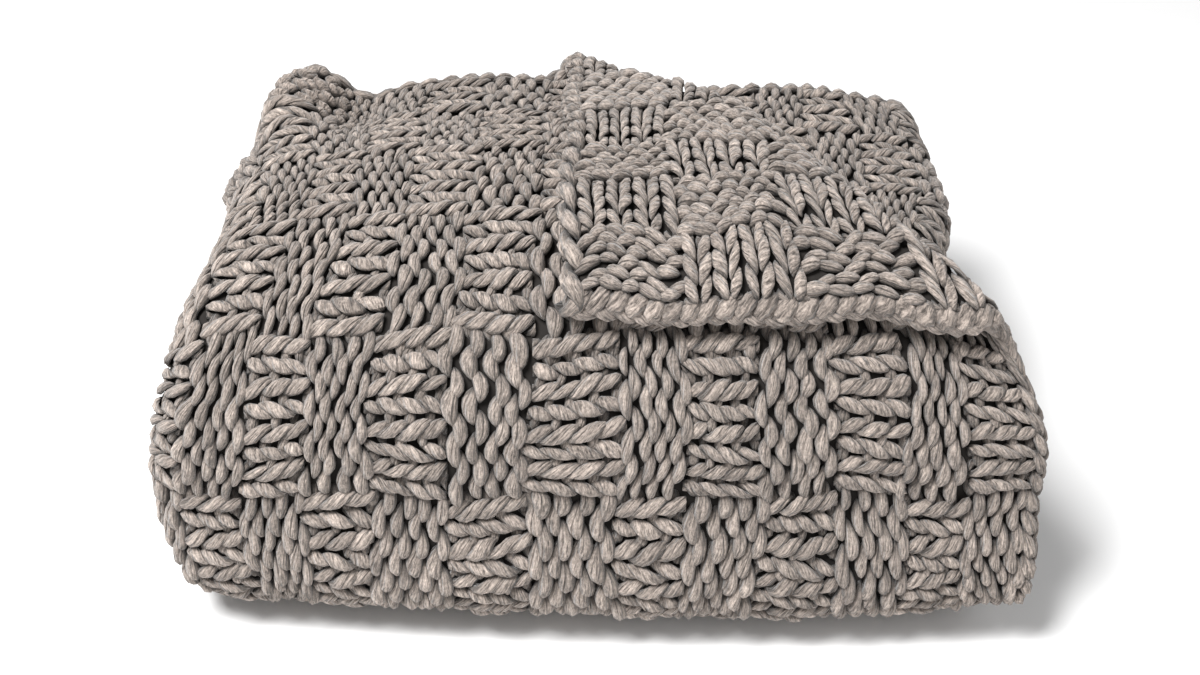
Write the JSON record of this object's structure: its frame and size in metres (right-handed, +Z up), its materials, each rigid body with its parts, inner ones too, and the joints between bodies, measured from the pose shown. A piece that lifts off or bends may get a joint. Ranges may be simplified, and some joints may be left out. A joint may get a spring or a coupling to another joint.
{
  "type": "folded knit blanket",
  "caption": "Thick basket-weave knit throw folded in thirds both ways into a soft rectangular pile, with one corner of its top layer turned back.",
  "frame": {"origin": "on the surface it rests on, under the middle of its bounding box", "axes": "+Z up; +X to the right along the pile's width; -Y towards the rounded front fold"},
  "size_m": [0.5103, 0.3824, 0.2478],
  "materials": {
    "yarn": "soft matte roving yarn, warm grey"
  },
  "bodies": {
    "root": {"blanket": "yarn"}
  },
  "joints": []
}
